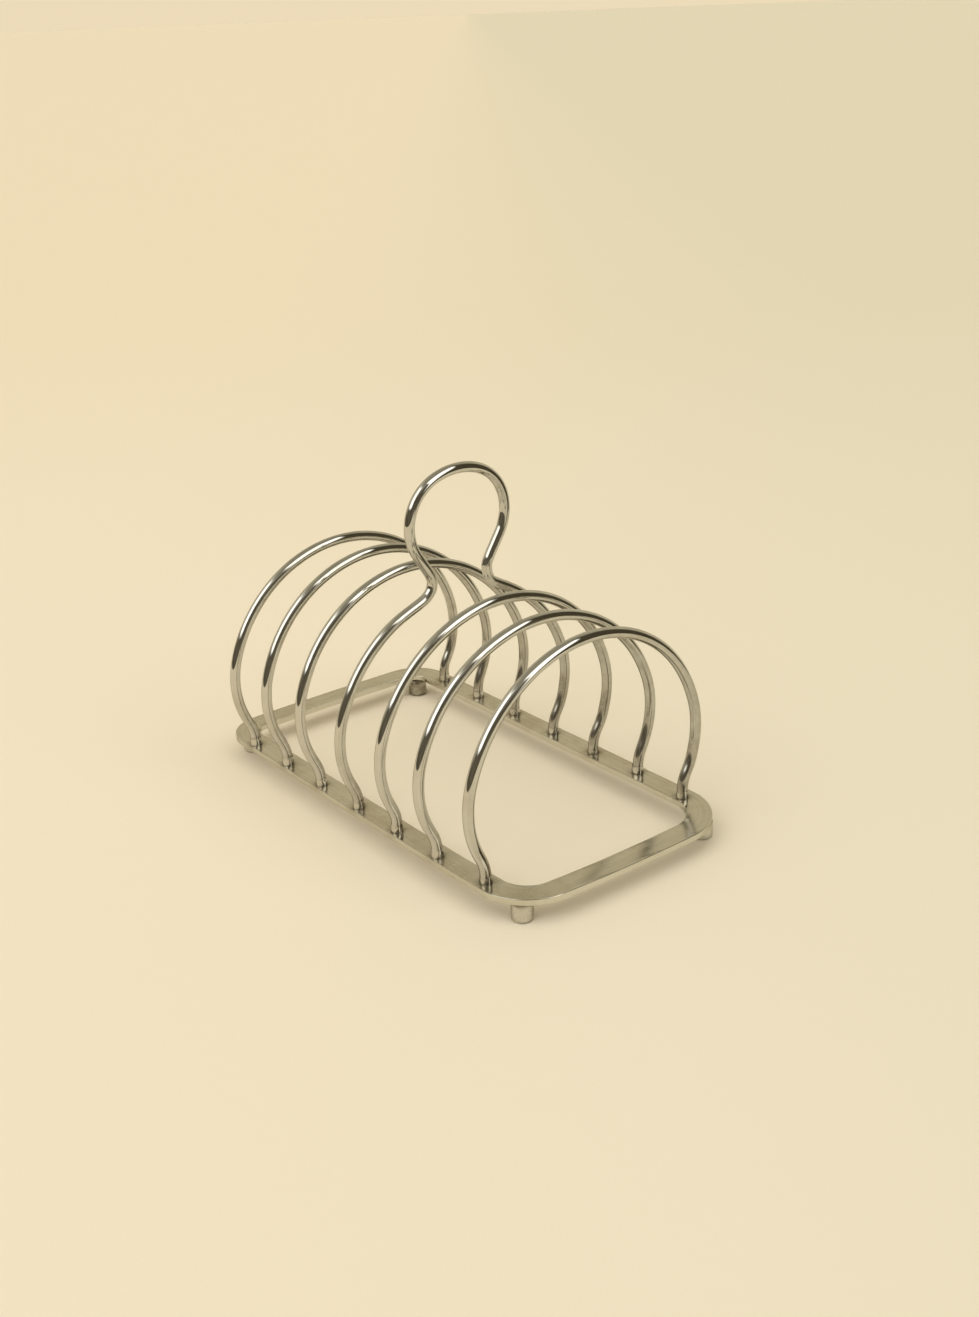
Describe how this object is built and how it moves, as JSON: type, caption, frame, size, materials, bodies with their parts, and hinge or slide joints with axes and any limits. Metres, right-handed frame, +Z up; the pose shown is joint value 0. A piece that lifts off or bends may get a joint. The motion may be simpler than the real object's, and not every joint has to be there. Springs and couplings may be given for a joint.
{
  "type": "toast rack",
  "caption": "Wire toast rack: a row of bowed wire hoops brazed to a flat rounded-rectangle strip base on turned feet, the middle hoop rising into a pear-shaped carrying loop.",
  "frame": {"origin": "on the surface the rack stands on, under the middle of its overall box", "axes": "+Z up; +X along the row of hoops towards the front end; +Y towards the right-hand rail"},
  "size_m": [0.1594, 0.0912, 0.1062],
  "materials": {
    "hoop_wire": "polished silver plate, lightly worn",
    "base_strip": "silver plate, polished but duller than the wire",
    "foot": "silver plate, satin",
    "braze": "plated braze, slightly lumpy"
  },
  "bodies": {
    "root": {"base_frame": "base_strip", "hoop_1": "hoop_wire", "hoop_2": "hoop_wire", "hoop_3": "hoop_wire", "handle_hoop": "hoop_wire", "hoop_5": "hoop_wire", "hoop_6": "hoop_wire", "hoop_7": "hoop_wire", "foot_front_left": "foot", "foot_front_right": "foot", "foot_rear_left": "foot", "foot_rear_right": "foot", "braze_1_left": "braze", "braze_1_right": "braze", "braze_2_left": "braze", "braze_2_right": "braze", "braze_3_left": "braze", "braze_3_right": "braze", "braze_4_left": "braze", "braze_4_right": "braze", "braze_5_left": "braze", "braze_5_right": "braze", "braze_6_left": "braze", "braze_6_right": "braze", "braze_7_left": "braze", "braze_7_right": "braze"}
  },
  "joints": []
}
